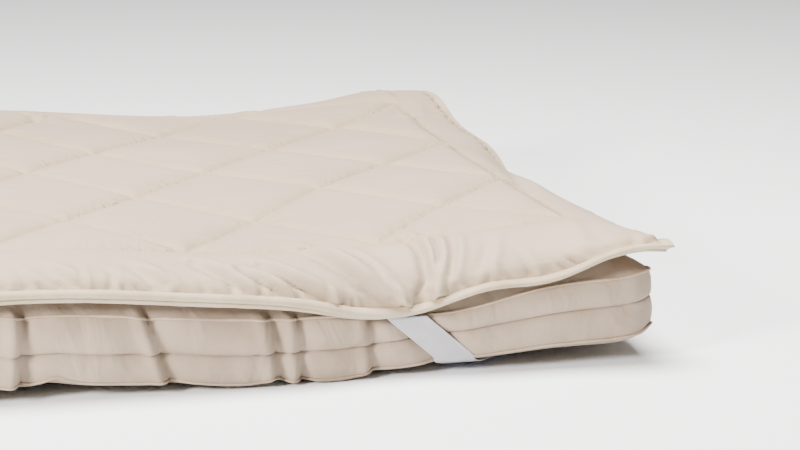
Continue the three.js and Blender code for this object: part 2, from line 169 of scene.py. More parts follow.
def tuft_rows():
    """The same for all tufts, with places along the run. Those on the other sides are spread by chance."""
    rows = []
    for top, low, deep, dip, notch, lift in FRONT_TUFTS:
        rows.append((top - FRONT_START, low - FRONT_START, deep, dip, notch - FRONT_START, lift))
    dice = np.random.default_rng(11)
    at = 60.0
    while at < AROUND - 50.0:
        k = int(np.argmin(np.abs(RUN - at)))
        x, y = PLACES[k]
        shown_front = y < -WIDTH / 2 + 20 and x > 200
        near_corner = abs(x) > 955 and abs(y) > 405
        near_strap = abs(abs(x) - STRAP_X - 20) < 55 and abs(y) > 400
        if not (shown_front or near_corner or near_strap):
            slant = dice.uniform(-22, 22)
            deep = dice.uniform(6.0, 10.0)
            rows.append((at, at + slant, deep, dice.uniform(2, 4), at + slant * 1.6, dice.uniform(3, 8)))
        at += dice.uniform(96, 122)
    return rows


TUFTS = tuft_rows()


def away(run, centre):
    """Signed distance along the run, the short way round."""
    return (run - centre + AROUND / 2) % AROUND - AROUND / 2


def crease(d):
    """A sharp fold: steep on one side, and a slower slope on the other."""
    return np.where(d < 0, np.exp(d / 3.5), np.exp(-d / 8.5))


def tuft_pull(up):
    """How far the tufts pull the band in at a height of it, and the soft ridges that stand beside them."""
    pull = np.zeros_like(RUN)
    for top, low, deep, *_ in TUFTS:
        d = away(RUN, low + (top - low) * up)
        pull += deep * crease(d) * (1.0 - 0.25 * math.sin(math.pi * up))
        pull -= 0.5 * deep * hill(d + 8.5, 6.0)
    return pull


def upper_seam_dip():
    """How far the upper seam lies below its place. It stands a little higher at the corners."""
    x, y = np.abs(PLACES.T)
    dip = sum(depth * crease(away(RUN, top)) for top, _, _, depth, _, _ in TUFTS)
    corner = np.minimum(np.abs(x - LENGTH / 2), 60) + np.minimum(np.abs(y - WIDTH / 2), 60)
    pressed = 13.0 * hill(x - STRAP_X - 40.0, 70.0) * np.abs(OUTS[:, 1])
    return dip + pressed - 4.0 * hill(corner, 22.0)


def lower_seam_lift():
    """How far the tufts pull the lower seam up, in notches beside them."""
    return sum(lift * np.exp(-((np.abs(away(RUN, notch)) / 15.0) ** 1.3)) for *_, notch, lift in TUFTS)


def lower_seam_press():
    """Next to the straps, towards the middle, the lower seam is pressed down to the floor."""
    return 4.5 * hill(np.abs(PLACES[:, 0]) - 655.0, 75.0) * np.abs(OUTS[:, 1])


def folds_in_band(up):
    """Shallow folds between the tufts, a few finger widths apart."""
    height = up * BAND
    dice = np.random.default_rng(5)
    total = np.zeros_like(RUN)
    for count in (37, 58, 83, 131, 187):
        slant, phase = dice.uniform(-0.5, 0.5), dice.uniform(0, 2 * math.pi)
        total += (58.0 / count) * np.cos(2 * math.pi * count * (RUN + slant * height) / AROUND + phase)
    calm = 0.45 + 0.55 * ease((780.0 - np.abs(PLACES[:, 0])) / 60.0)
    return total * calm * math.sin(math.pi * up)


def ring(inset, z, up, push, under=False):
    """One closed row of the cover. Its points move in from the seam by inset and out by push."""
    half = np.array([LENGTH / 2, WIDTH / 2])
    flat = PLACES * (1.0 - inset / half)
    side = drawn_in_at_side(PLACES[:, 0], up) * np.abs(OUTS[:, 1]) * (1.0 - ease(inset / 120.0))
    end = drawn_in_at_end(PLACES[:, 1]) * np.abs(OUTS[:, 0]) * (1.0 - ease(inset / 200.0))
    flat = flat + OUTS * (push - side - end)[:, None]
    x, y = flat[:, 0], flat[:, 1]
    height = z + rise_under(x, y) * (1.0 - up) + rise_top(x, y) * up - droop_at(x, y)
    if under:
        height -= sag_under(x, y, inset)
    return np.column_stack([flat, height])


# Rows of the cover: those of the underside by their inset from the seam and their height, those of the lower
# and the upper strip of the band by their share of its height, and those of the top by their inset.
UNDER_INSETS = (450, 300, 180, 110, 62, 38, 22, 11, 5, 1.5)
UNDER_HEIGHTS = (0, 0, 0, 0, 0, 0.5, 1.4, 2.3, 3.2, 4.4)
LOWER_SHARES = (0.0, 0.03, 0.08, 0.15, 0.24, 0.33, 0.4, 0.43, MID_SEAM)
UPPER_SHARES = (0.455, 0.48, 0.55, 0.65, 0.75, 0.85, 0.92, 0.97, 1.0)
TOP_INSETS = (1.5, 4, 9, 16, 26, 42, 70, 120, 200, 300, 450)
LOWER_BULGE, UPPER_BULGE, BAND_BULGE = 3.6, 5.0, 2.0  # of each strip of the band, and of the whole band
SEAM_DEPTH = 1.6


def mattress_rows():
    fill = 1.0 - 0.5 * np.clip(tuft_pull(0.5) / 9.0, 0.0, 1.0)
    to_corner = np.hypot(LENGTH / 2 - np.abs(PLACES[:, 0]), WIDTH / 2 - np.abs(PLACES[:, 1]))
    firm = 1.0 - 0.85 * hill(to_corner, 45.0)
    dip, lift, press = upper_seam_dip(), lower_seam_lift(), lower_seam_press()
    rows = []
    for inset, low in zip(UNDER_INSETS, UNDER_HEIGHTS):
        fade = math.exp(-inset / 22.0)
        z = low + lift * fade * min(1.0, low / 2.0) - press * fade * low / BELLY
        rows.append(ring(inset, z, 0.0, -0.6 * tuft_pull(0.0) * fade, under=True))
    for up in LOWER_SHARES + UPPER_SHARES:
        lower = up <= MID_SEAM
        share = up / MID_SEAM if lower else (up - MID_SEAM) / (1.0 - MID_SEAM)
        arch = math.sin(math.pi * share) ** 0.7 if 0 < share < 1 else 0.0
        strip = (LOWER_BULGE if lower else UPPER_BULGE) * arch * fill
        bulge = (strip + BAND_BULGE * math.sin(math.pi * up)) * firm
        seam = -SEAM_DEPTH * math.exp(-abs(up - MID_SEAM) / 0.012)
        push = bulge + seam - tuft_pull(up) + folds_in_band(up)
        z = BELLY + up * BAND + (lift - press) * (1.0 - up) ** 3 - dip * up**2
        z += 0.45 * BAND * up * (1.0 - up) * hill(to_corner, 200.0)  # its own seam climbs to a corner
        rows.append(ring(0.0, z, up, push))
    pulled = tuft_pull(1.0)
    for inset in TOP_INSETS:
        fade = math.exp(-inset / 26.0)
        crown = CROWN * (1.0 - math.exp(-inset / 35.0))
        z = SIDE_TOP + crown - dip * fade - 0.5 * pulled * (math.exp(-inset / 45.0) - fade)
        rows.append(ring(inset, z, 1.0, -pulled * fade))
    return rows


def lay_flat(mesh, laid):
    """Stores each point's place on the flat cloth, given in millimetres, for the weave."""
    flat = np.column_stack([np.asarray(laid) * MM, np.zeros(len(laid))])
    mesh.attributes.new("laid_flat", "FLOAT_VECTOR", "POINT").data.foreach_set("vector", flat.ravel())


def finish_mesh(mesh, material):
    """Merges a mesh's doubled points, shades it smooth and gives it its material."""
    build = bmesh.new()
    build.from_mesh(mesh)
    bmesh.ops.remove_doubles(build, verts=build.verts, dist=0.02 * MM)
    build.to_mesh(mesh)
    build.free()
    mesh.shade_smooth()
    mesh.materials.append(material)


def new_object(name, data):
    """Puts a mesh, a light or a camera into the scene."""
    made = bpy.data.objects.new(name, data)
    bpy.context.collection.objects.link(made)
    return made


def mesh_piece(name, points, faces, material, laid):
    """A smooth shaded object of points in millimetres. Laid gives each point's place on the flat cloth."""
    mesh = bpy.data.meshes.new(name)
    mesh.from_pydata((np.asarray(points) * MM).tolist(), [], faces)
    lay_flat(mesh, laid)
    finish_mesh(mesh, material)
    return new_object(name, mesh)


def grid_faces(rows, columns, looped=False):
    """Quads of a grid of points, row after closed row. A looped grid joins its last row to its first."""
    i, j = np.meshgrid(np.arange(columns), np.arange(rows if looped else rows - 1))
    side, here, ahead = (i + 1) % columns, j * columns, (j + 1) % rows * columns
    return np.stack([here + i, here + side, ahead + side, ahead + i], axis=-1).reshape(-1, 4).tolist()


def linear(hex_colour):
    """A linear colour with alpha, from an sRGB hex value."""
    parts = [int(hex_colour[k : k + 2], 16) / 255 for k in (1, 3, 5)]
    return tuple(c / 12.92 if c <= 0.04045 else ((c + 0.055) / 1.055) ** 2.4 for c in parts) + (1.0,)


def add(tree, kind, inputs=None, **settings):
    """Adds a node with its settings. An input is a value, or a socket that is linked to it."""
    made = tree.nodes.new(kind)
    for key, value in settings.items():
        setattr(made, key, value)
    for key, value in (inputs or {}).items():
        if isinstance(value, bpy.types.NodeSocket):
            tree.links.new(value, made.inputs[key])
        else:
            made.inputs[key].default_value = value
    return made


WAVE_LENGTH = 0.314  # of a wave texture's bands at a scale of 1


def weave_height(tree, laid, thread, slant=0.0):
    """Crossing threads of a woven cloth as a height from 0 to 1, in the cloth's own flat directions."""
    turned = add(tree, "ShaderNodeMapping", {"Vector": laid, "Rotation": (0.0, 0.0, slant)}).outputs[0]
    waves = {"Vector": turned, "Scale": WAVE_LENGTH / thread, "Distortion": 0.6, "Detail": 1.0}
    warp = add(tree, "ShaderNodeTexWave", waves, bands_direction="X").outputs["Fac"]
    weft = add(tree, "ShaderNodeTexWave", waves, bands_direction="Y").outputs["Fac"]
    return add(tree, "ShaderNodeMath", {0: warp, 1: weft}, operation="MAXIMUM").outputs[0]


def cloth_material(name, light, dark, cloud_scale, roughness, sheen):
    """A new cloth material in a cloudy colour: itself, its node tree, its shader, and sockets with its place
    on the object, its place on the flat cloth and its colour."""
    made = bpy.data.materials.new(name)
    made.use_nodes = True
    tree = made.node_tree
    surface = tree.nodes["Principled BSDF"]
    place = add(tree, "ShaderNodeTexCoord").outputs["Object"]
    laid = add(tree, "ShaderNodeAttribute", attribute_name="laid_flat").outputs["Vector"]
    clouds = {"Vector": place, "Scale": cloud_scale, "Detail": 4.0, "Roughness": 0.6}
    tones = add(tree, "ShaderNodeValToRGB", {"Fac": add(tree, "ShaderNodeTexNoise", clouds).outputs["Fac"]})
    for stop, position, tone in zip(tones.color_ramp.elements, (0.3, 0.7), (dark, light)):
        stop.position = position
        stop.color = linear(tone)
    tree.links.new(tones.outputs["Color"], surface.inputs["Base Color"])
    surface.inputs["Roughness"].default_value = roughness
    surface.inputs["Sheen Weight"].default_value = sheen
    surface.inputs["Sheen Roughness"].default_value = 0.5
    surface.inputs["Specular IOR Level"].default_value = 0.25
    return made, tree, surface, place, laid, tones.outputs["Color"]


def raise_relief(tree, surface, height, strength, depth):
    """Gives the shader a relief of a depth in millimetres, on top of any that it has."""
    inputs = {"Height": height, "Strength": strength, "Distance": depth * MM}
    before = surface.inputs["Normal"].links
    if before:
        inputs["Normal"] = before[0].from_socket
    tree.links.new(add(tree, "ShaderNodeBump", inputs).outputs["Normal"], surface.inputs["Normal"])


# Unbleached cotton twill. The eye sees a dry, matte cream cloth with a faint slanting weave, cloudy patches
# where the yarn varies, small creases, and here and there a dark fleck of cotton seed.
TWILL_THREAD = 1.3 * MM  # real threads are a third of this, drawn as coarse as the render can show
TWILL_SLANT = math.radians(28.0)
SEED_COLOUR = "#7c6450"
twill, tree, surface, place, laid, cloudy = cloth_material(
    "unbleached_cotton_twill", "#a39282", "#8f7e6c", 14.0, 0.92, 0.1
)
seeds = add(tree, "ShaderNodeTexVoronoi", {"Vector": place, "Scale": 42.0, "Randomness": 1.0})
on_seed = {"From Min": 0.03, "From Max": 0.055, "To Min": 0.7, "To Max": 0.0}
fleck = add(tree, "ShaderNodeMapRange", {"Value": seeds.outputs["Distance"], **on_seed}).outputs["Result"]
seedy = {"Factor": fleck, "A": cloudy, "B": linear(SEED_COLOUR)}
flecked = add(tree, "ShaderNodeMix", seedy, data_type="RGBA").outputs[2]
tree.links.new(flecked, surface.inputs["Base Color"])
leaning = {"Vector": laid, "Rotation": (0.0, 0.0, 0.35), "Scale": (1.3, 0.7, 1.0)}
upright = add(tree, "ShaderNodeMapping", leaning).outputs["Vector"]
creases = {"Vector": upright, "Scale": 15.0, "Detail": 3.0, "Roughness": 0.45, "Distortion": 0.9}
raise_relief(tree, surface, add(tree, "ShaderNodeTexNoise", creases).outputs["Fac"], 0.8, 9.0)
raise_relief(tree, surface, weave_height(tree, laid, TWILL_THREAD, TWILL_SLANT), 0.35, 0.3)

cover_rows = mattress_rows()
row_steps = [np.linalg.norm(b - a, axis=1).mean() for a, b in zip(cover_rows[:-1], cover_rows[1:])]
row_way = np.concatenate([[0.0], np.cumsum(row_steps)])
mattress = mesh_piece(
    "mattress_cover",
    np.concatenate(cover_rows),
    grid_faces(len(cover_rows), len(PLACES)),
    twill,
    [(run, way) for way in row_way for run in RUN],
)
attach(mattress, "root")
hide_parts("mattress")


# Piping of the mattress: a thin cord in a folded strip of the same twill, sewn into the upper and the lower
# seam of the band. It follows every dip and notch of the seam and is a little uneven along its length.
PIPING_RADIUS = 1.5
PIPING_STEP = 4.0
PIPING_OUT = 0.8  # from the seam out to the cord's middle
LOWER_SEAM_ROW = len(UNDER_INSETS)
UPPER_SEAM_ROW = LOWER_SEAM_ROW + len(LOWER_SHARES) + len(UPPER_SHARES) - 1


def geometry_tree(name, numbers):
    """A new geometry tree with a geometry, the named numbers and a material as inputs."""
    tree = bpy.data.node_groups.new(name, "GeometryNodeTree")
    tree.interface.new_socket("Geometry", in_out="INPUT", socket_type="NodeSocketGeometry")
    for number in numbers:
        tree.interface.new_socket(number, in_out="INPUT", socket_type="NodeSocketFloat")
    tree.interface.new_socket("Material", in_out="INPUT", socket_type="NodeSocketMaterial")
    tree.interface.new_socket("Geometry", in_out="OUTPUT", socket_type="NodeSocketGeometry")
    return tree, add(tree, "NodeGroupInput").outputs


def finish_tree(tree, made, material):
    """Ends a geometry tree with its instances realized and its material set."""
    real = add(tree, "GeometryNodeRealizeInstances", {"Geometry": made})
    finished = add(tree, "GeometryNodeSetMaterial", {"Geometry": real.outputs[0], "Material": material})
    add(tree, "NodeGroupOutput", {"Geometry": finished.outputs[0]})


def made_by(tree, name, start, values, material):
    """Runs a geometry tree on a start mesh and keeps the result as a plain smooth mesh."""
    piece = new_object(name, start)
    modifier = piece.modifiers.new("made", "NODES")
    modifier.node_group = tree
    for item in tree.interface.items_tree:
        if item.in_out == "INPUT" and item.name in values:
            modifier[item.identifier] = values[item.name]
        if item.in_out == "INPUT" and item.name == "Material":
            modifier[item.identifier] = material
    seen = piece.evaluated_get(bpy.context.evaluated_depsgraph_get())
    mesh = bpy.data.meshes.new_from_object(seen)
    piece.modifiers.remove(modifier)
    piece.data = mesh
    mesh.shade_smooth()
    return piece


def path_mesh(name, lines):
    """A mesh of edges alone, from lists of points in millimetres. A closed line repeats its first point."""
    points, edges = [], []
    for line in lines:
        closed = np.allclose(line[0], line[-1])
        kept = line[:-1] if closed else line
        first = len(points)
        points.extend((np.asarray(kept) * MM).tolist())
        edges.extend((first + k, first + k + 1) for k in range(len(kept) - 1))
        if closed:
            edges.append((len(points) - 1, first))
    mesh = bpy.data.meshes.new(name)
    mesh.from_pydata(points, edges, [])
    return mesh


def stepped_line(tree, given, step):
    """The given lines as curves with points at even steps."""
    line = add(tree, "GeometryNodeMeshToCurve", {"Mesh": given["Geometry"]}).outputs[0]
    evenly = {"Curve": line, "Length": given[step]}
    return add(tree, "GeometryNodeResampleCurve", evenly, mode="LENGTH").outputs[0]


cord_tree, given = geometry_tree("piping_cord", ["Radius", "Step", "Unevenness", "Seed"])
line = stepped_line(cord_tree, given, "Step")
spot = add(cord_tree, "GeometryNodeInputPosition").outputs[0]
lumps = {"Vector": spot, "W": given["Seed"], "Scale": 55.0, "Detail": 2.0}
lump = add(cord_tree, "ShaderNodeTexNoise", lumps, noise_dimensions="4D").outputs["Fac"]
swing = add(cord_tree, "ShaderNodeMath", {0: lump, 1: 0.5}, operation="SUBTRACT").outputs[0]
uneven = {0: swing, 1: given["Unevenness"], 2: 1.0}
swing = add(cord_tree, "ShaderNodeMath", uneven, operation="MULTIPLY_ADD").outputs[0]
girth = add(cord_tree, "ShaderNodeMath", {0: swing, 1: given["Radius"]}, operation="MULTIPLY").outputs[0]
section = add(cord_tree, "GeometryNodeCurvePrimitiveCircle", {"Resolution": 8, "Radius": 1.0}).outputs[0]
tube = add(cord_tree, "GeometryNodeCurveToMesh", {"Curve": line, "Profile Curve": section, "Scale": girth})
finish_tree(cord_tree, tube.outputs[0], given["Material"])

# Piping twill is the same cloth on the bias. The eye sees a matte cream cord with small gathers along it.
piping_twill, tree, surface, place, _, _ = cloth_material(
    "piping_twill", "#a59380", "#8d7b67", 30.0, 0.9, 0.1
)
gathers = add(tree, "ShaderNodeTexNoise", {"Vector": place, "Scale": 160.0, "Detail": 3.0})
raise_relief(tree, surface, gathers.outputs["Fac"], 0.5, 1.0)

for which, seam_row, seed in (("lower", LOWER_SEAM_ROW, 3.0), ("upper", UPPER_SEAM_ROW, 4.0)):
    path = cover_rows[seam_row] + np.column_stack([OUTS * PIPING_OUT, np.zeros(len(OUTS))])
    piping = made_by(
        cord_tree,
        f"mattress_piping_{which}",
        path_mesh(f"piping_{which}", [np.vstack([path, path[:1]])]),
        {"Radius": PIPING_RADIUS * MM, "Step": PIPING_STEP * MM, "Unevenness": 0.5, "Seed": seed},
        piping_twill,
    )
    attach(piping, "root")
    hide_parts(f"mattress_piping_{which}")


# Protector: two cloths of bleached cotton sateen with a thick wadding between them, quilted in tall diamonds
# and once round inside the border. It lies on the mattress, and its border falls over the edges in an arc,
# steepest where a strap pulls on it. The filling and the slack cloth over it settle in a simulation.
PANEL_X, PANEL_Y = 934.0, 380.0  # from the middle out to the stitched border line
BORDER = 84.0  # from that line out to the edge of a long side
END_BORDER = 74.0  # and of an end
EDGE_X, EDGE_Y = PANEL_X + END_BORDER, PANEL_Y + BORDER
DIAMONDS_LONG, DIAMONDS_WIDE = 10, 3
DIAMOND_LONG, DIAMOND_WIDE = 2 * PANEL_X / DIAMONDS_LONG, 2 * PANEL_Y / DIAMONDS_WIDE
LINE_SPACING = 150.3  # from a stitched line to the next one beside it
CELLS = 32  # steps of the cloth's grid to a diamond
ROWS_OUT = 14  # and across the border
STITCH_LEVEL = PLATEAU + 7.0  # the middle between the two cloths
EDGE_LOFT = 1.2  # half the thickness at the edge
SEAM_LOFT = 5.0  # and along a stitched line
PUFF_LOFT = 10.0  # how much higher the top stands between the lines
BORDER_PUFF, END_BORDER_PUFF = 0.7, 0.3  # the share of it in the borders
FRONT_HANG, BACK_HANG, END_HANG, STRAP_HANG = 27.0, 31.0, 57.0, 70.0  # degrees that a border turns down


def mix(a, b, share):
    return a + (b - a) * share


def hang_of_side(s, t):
    """The angle that the border of a long side turns down to. It lies flatter at the back corners."""
    reach, front = np.abs(s), t < 0
    free = np.where(
        front,
        mix(FRONT_HANG, 18.0, ease((reach - 900.0) / 90.0)) + 22.0 * hill(reach - 885.0, 55.0),
        mix(BACK_HANG, 5.0, ease((reach - 830.0) / 90.0)),
    )
    pulled = hill(reach - STRAP_X, np.where(reach < STRAP_X, PULL_REACH, 69.0))
    return np.radians(mix(free, STRAP_HANG, pulled))


def hang_of_end(t):
    """The same for an end. Near a front corner, which stands out almost level, the border falls away."""
    reach, front = np.abs(t), t < 0
    along = mix(END_HANG, np.where(front, 50.0, 18.0), ease(reach / 200.0))
    at_tip = np.where(front, ease((reach - 385.0) / 79.0), ease((reach - 320.0) / 110.0))
    return np.radians(mix(along, np.where(front, 14.0, 5.0), at_tip))


def hanging(e, angle, width):
    """How far out and down a border has gone, a length e out from its stitched line."""
    turned, radius = angle * e / width, width / angle
    return radius * np.sin(turned), radius * (1.0 - np.cos(turned))


def slid(s, t):
    """How far the cloth has slid lengthwise: its last diamonds at the right are drawn out at the back."""
    back = np.clip((t + PANEL_Y) / (2 * PANEL_Y), 0.0, 1.0)
    fade = 1.0 - 0.9 * np.maximum(0.0, s - PANEL_X) / END_BORDER
    return back * (20.0 * ease((s - 747.0) / 187.0) * fade - 18.0 * hill(s - 560.0, 150.0))


def cloth(s, t):
    """The protector's middle surface at the flat cloth's place s, t."""
    out_x, down_x = hanging(np.maximum(0.0, np.abs(s) - PANEL_X), hang_of_end(t), END_BORDER)
    out_y, down_y = hanging(np.maximum(0.0, np.abs(t) - PANEL_Y), hang_of_side(s, t), BORDER)
    x = np.sign(s) * (np.minimum(np.abs(s), PANEL_X) + out_x) + slid(s, t)
    y = np.sign(t) * (np.minimum(np.abs(t), PANEL_Y) + out_y)
    return np.stack([x, y, STITCH_LEVEL + rise_top(x, y) - down_x - down_y], axis=-1)


def cloth_normal(s, t):
    along_s = cloth(s + 2.0, t) - cloth(s - 2.0, t)
    along_t = cloth(s, t + 2.0) - cloth(s, t - 2.0)
    normal = np.cross(along_s, along_t)
    return normal / np.linalg.norm(normal, axis=-1, keepdims=True)


def swell(distance, reach):
    return 1.0 - np.exp(-distance / reach)


def from_stitches(s, t):
    """Distance on the flat cloth to the nearest stitched line, and to the edge."""
    u, v = (s + PANEL_X) / DIAMOND_LONG, (t + PANEL_Y) / DIAMOND_WIDE
    rising, falling = u - v - np.round(u - v), u + v - np.round(u + v)
    inside = LINE_SPACING * np.minimum(np.abs(rising), np.abs(falling))
    over_x, over_y = np.abs(s) - PANEL_X, np.abs(t) - PANEL_Y
    on_border = np.maximum(over_x, over_y)
    line = np.where(on_border > 0, on_border, np.minimum(inside, -on_border))
    return line, np.minimum(EDGE_X - np.abs(s), EDGE_Y - np.abs(t))


def puff(s, t):
    """How full the filling stands at a place, from 0 on a stitched line to 1 in the middle between them.
    It is thin in the borders of the ends, and falls into a furrow above the rolled edge."""
    line, edge = from_stitches(s, t)
    in_border = np.maximum(np.abs(s) - PANEL_X, np.abs(t) - PANEL_Y) > 0
    full = np.where(np.abs(s) > PANEL_X, END_BORDER_PUFF, BORDER_PUFF)
    rise = 0.45 * swell(line, 4.0) + 0.55 * swell(line, 24.0)
    return np.where(in_border, full * rise * swell(np.maximum(edge - 4.0, 0.0), 9.0), rise)


def polyline_distance(s, t, corners):
    """Distance to a drawn line, its side, and the share of its length at the nearest point."""
    best = np.full(s.shape, 1e9)
    side, share = np.zeros(s.shape), np.zeros(s.shape)
    for k, ((ax, ay), (bx, by)) in enumerate(zip(corners[:-1], corners[1:])):
        dx, dy = bx - ax, by - ay
        way = np.clip(((s - ax) * dx + (t - ay) * dy) / (dx * dx + dy * dy), 0.0, 1.0)
        off_x, off_y = s - ax - way * dx, t - ay - way * dy
        distance = np.hypot(off_x, off_y)
        nearer = distance < best
        best = np.where(nearer, distance, best)
        side = np.where(nearer, np.sign(dx * off_y - dy * off_x), side)
        share = np.where(nearer, (k + way) / (len(corners) - 1), share)
    return best, side, share


# Folds that the straps and the handling leave, each with its line on the flat cloth, depth and width.
FOLDS = [
    ([(672, -388), (692, -416), (714, -440), (734, -456), (748, -463)], 15.0, 5.0),
    ([(704, -396), (724, -424), (744, -452)], 5.0, 4.0),
    ([(622, -424), (648, -446), (680, -462)], 9.0, 4.2),
    ([(560, -422), (586, -442), (606, -460)], 8.0, 4.0),
    ([(600, -436), (642, -461)], 7.0, 3.6),
    ([(500, -432), (528, -455)], 5.0, 4.0),
    ([(420, -436), (446, -457)], 4.0, 4.5),
    ([(777, -384), (781, -412), (780, -442), (770, -463)], 13.0, 3.8),
    ([(796, -392), (794, -424), (786, -448), (776, -463)], 8.0, 3.4),
    ([(814, -398), (809, -424), (802, -444)], 5.5, 3.6),
    ([(845, -412), (838, -432), (830, -446)], 3.0, 4.5),
    ([(928, 352), (918, 302)], 3.0, 7.0),
    ([(950, 362), (934, 302)], 2.6, 7.0),
    ([(524, 380), (537, 314)], 3.4, 7.0),
    ([(984, 60), (968, -60), (944, -210)], 2.2, 7.0),
    ([(972, 30), (958, -80), (938, -200)], 1.8, 6.0),
    ([(-700, -424), (-722, -448), (-744, -463)], 4.0, 6.5),
    ([(-784, -400), (-786, -434), (-778, -462)], 4.0, 6.0),
    ([(706, 420), (726, 446), (744, 463)], 4.0, 6.5),
    ([(786, 404), (788, 432), (780, 460)], 3.6, 6.0),
    ([(-704, 424), (-724, 448), (-746, 463)], 4.0, 6.5),
    ([(-788, 408), (-788, 436), (-780, 462)], 3.6, 6.0),
]


def folded(s, t):
    """Height that the folds add: a furrow, steep on one side, with a rounded ridge beyond it."""
    height = np.zeros(s.shape)
    for corners, depth, width in FOLDS:
        distance, side, share = polyline_distance(s, t, corners)
        taper = np.sin(math.pi * np.clip(0.12 + 0.62 * share, 0.0, 1.0)) ** 0.8
        furrow = np.exp(-np.abs(distance / (width * np.where(side > 0, 0.8, 1.7))) ** 1.4)
        ridge = hill(distance - 2.3 * width, 1.2 * width) * np.where(side > 0, 0.7, 0.1)
        height += depth * taper * (ridge - furrow)
    return height


def lofted(s, t, edge):
    """How high the top cloth stands over the protector's middle surface."""
    return mix(EDGE_LOFT, SEAM_LOFT, ease((edge - 3.0) / 9.0)) + PUFF_LOFT * puff(s, t)


def grid_of(half, border, diamonds):
    """Places of the grid's lines: even in the panel, and in the border closer towards the edge."""
    inner = np.linspace(-half, half, diamonds * CELLS + 1)
    outer = half + border * (1.0 - (1.0 - np.arange(1, ROWS_OUT + 1) / ROWS_OUT) ** 1.5)
    return np.concatenate([-outer[::-1], inner, outer])


def each_point(along_s, along_t):
    """Both coordinates of every point of the cloth's grid, row after row."""
    return [grid.ravel() for grid in np.meshgrid(along_s, along_t)]


GRID_S = grid_of(PANEL_X, END_BORDER, DIAMONDS_LONG)
GRID_T = grid_of(PANEL_Y, BORDER, DIAMONDS_WIDE)
ON_LINE = 0.1  # a point this near to a line is on it
flat_s, flat_t = each_point(GRID_S, GRID_T)
index_s, index_t = each_point(np.arange(len(GRID_S)) - ROWS_OUT, np.arange(len(GRID_T)) - ROWS_OUT)
out_s, out_t = np.abs(flat_s), np.abs(flat_t)
in_panel = (out_s < PANEL_X + ON_LINE) & (out_t < PANEL_Y + ON_LINE)
on_border_line = in_panel & ((out_s > PANEL_X - ON_LINE) | (out_t > PANEL_Y - ON_LINE))
on_diamonds = in_panel & (((index_s + index_t) % CELLS == 0) | ((index_s - index_t) % CELLS == 0))
stitched = on_border_line | on_diamonds
on_edge = (out_s > EDGE_X - ON_LINE) | (out_t > EDGE_Y - ON_LINE)


def quilt_faces():
    """Faces of the cloth's grid. A cell that a stitched line crosses is split along it."""
    columns = len(GRID_S)
    faces = []
    for j in range(len(GRID_T) - 1):
        for i in range(columns - 1):
            a, b = j * columns + i, j * columns + i + 1
            c, d = b + columns, a + columns
            if stitched[a] and stitched[c] and (index_s[a] - index_t[a]) % CELLS == 0:
                faces += [(a, b, c), (a, c, d)]
            elif stitched[b] and stitched[d] and (index_s[b] + index_t[b]) % CELLS == 0:
                faces += [(a, b, d), (b, c, d)]
            else:
                faces.append((a, b, c, d))
    return faces


line_distance, edge_distance = from_stitches(flat_s, flat_t)
lift = lofted(flat_s, flat_t, edge_distance)
start_points = cloth(flat_s, flat_t) + cloth_normal(flat_s, flat_t) * lift[:, None]
pad_mesh = bpy.data.meshes.new("protector_pad")
pad_mesh.from_pydata((start_points * MM).tolist(), [], quilt_faces())
lay_flat(pad_mesh, np.column_stack([flat_s, flat_t]))
pad = new_object("protector_pad", pad_mesh)

# The slack cloth settles over the filling. Stitched lines and the edge are held, the filling holds the rest
# softly, and the cloth is a little longer than its shape, most near the edge, so it forms small puckers.
SETTLE_FRAMES = 20
FARTHEST = 7.0  # that a point of the cloth may move
FABRIC = {
    "quality": 5,
    "mass": 0.15,
    "tension_stiffness": 15.0,
    "compression_stiffness": 15.0,
    "shear_stiffness": 8.0,
    "bending_stiffness": 0.05,
    "vertex_group_mass": "sewn",
    "pin_stiffness": 1.0,
    "vertex_group_shrink": "slack",
    "shrink_min": 0.0,
    "shrink_max": -0.05,
    "use_pressure": True,
    "uniform_pressure_force": 0.4,
}
slack = 0.25 + 0.35 * hill(line_distance, 22.0) + 0.75 * hill(edge_distance, 24.0)


def set_weights(piece, name, weights):
    group = piece.vertex_groups.new(name=name)
    for k, weight in enumerate(weights.tolist()):
        group.add([k], weight, "REPLACE")


def read(items, name, size=3, kind=float):
    """One value or vector of every item of a mesh, in rows."""
    values = np.empty(len(items) * size, dtype=kind)
    items.foreach_get(name, values)
    return values.reshape(-1, size)


set_weights(pad, "sewn", np.where(stitched | on_edge, 1.0, 0.42))
set_weights(pad, "slack", np.clip(slack, 0.0, 1.0))
fabric = pad.modifiers.new("fabric", "CLOTH")
for name, value in FABRIC.items():
    setattr(fabric.settings, name, value)
fabric.settings.effector_weights.gravity = 0.0
fabric.point_cache.frame_start = 1
fabric.point_cache.frame_end = SETTLE_FRAMES
for number in range(1, SETTLE_FRAMES + 1):
    bpy.context.scene.frame_set(number)
settled = pad.evaluated_get(bpy.context.evaluated_depsgraph_get()).data
moved = read(settled.vertices, "co") / MM - start_points
far = np.linalg.norm(moved, axis=1, keepdims=True)
moved *= np.minimum(1.0, FARTHEST / np.maximum(far, 1e-6))
pad.modifiers.remove(fabric)
pad.vertex_groups.clear()
pad_mesh.vertices.foreach_set("co", ((start_points + moved) * MM).ravel())
bpy.context.scene.frame_set(1)

start, end = read(pad_mesh.edges, "vertices", 2, int).T
sharp = np.where(stitched[start] & stitched[end], 0.7, 0.0)
sharp = np.where(on_edge[start] & on_edge[end], 1.0, sharp)
pad_mesh.attributes.new("crease_edge", "FLOAT", "EDGE").data.foreach_set("value", sharp)
smooth = pad.modifiers.new("smooth", "SUBSURF")
smooth.levels = 1
smooth.render_levels = 1
smooth.boundary_smooth = "PRESERVE_CORNERS"
finer = bpy.data.meshes.new_from_object(pad.evaluated_get(bpy.context.evaluated_depsgraph_get()))
pad.modifiers.remove(smooth)
fine_points = read(finer.vertices, "co") / MM
fine_normals = read(finer.vertex_normals, "vector")
fine_s, fine_t, _ = read(finer.attributes["laid_flat"].data, "vector").T / MM


